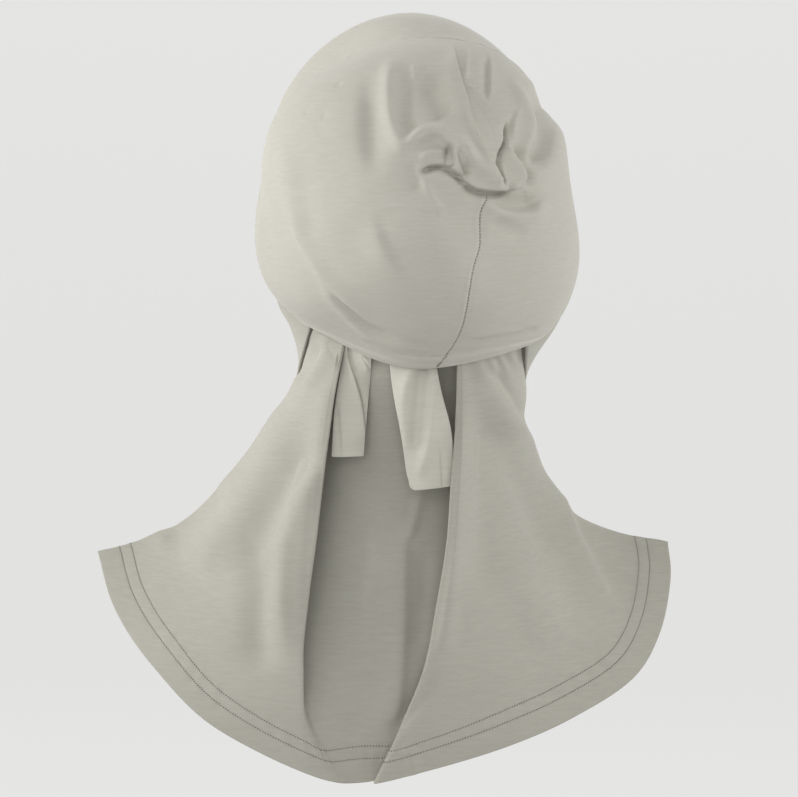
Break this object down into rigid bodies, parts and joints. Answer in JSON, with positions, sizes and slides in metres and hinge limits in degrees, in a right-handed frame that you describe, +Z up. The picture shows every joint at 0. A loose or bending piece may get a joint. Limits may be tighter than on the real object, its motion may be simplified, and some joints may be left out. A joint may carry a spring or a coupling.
{
  "type": "hijab underscarf cap",
  "caption": "Jersey underscarf cap as worn: smooth front, gathered hair pouch at the back, short nape ties, and a neck cover that widens into a shoulder cape with a deep back fold.",
  "frame": {"origin": "the inside of the crown's top, where a head carries the cap", "axes": "+Z up, +Y the way the wearer looks, +X to the right when seen from behind"},
  "size_m": [0.345, 0.2509, 0.4406],
  "materials": {
    "cap_jersey": "sage grey-beige viscose jersey with a soft sheen and fine cross streaks",
    "band_jersey": "the same jersey, turned double",
    "tie_jersey": "the same jersey, turned into a flat tie",
    "cape_jersey": "the same jersey with a twin-needle turned hem"
  },
  "bodies": {
    "root": {"crown_front": "cap_jersey", "pouch_left": "cap_jersey", "pouch_right": "cap_jersey", "nape_band": "band_jersey", "tie_left": "tie_jersey", "tie_right": "tie_jersey", "neck_cover": "cape_jersey", "cape_back": "cape_jersey"}
  },
  "joints": []
}
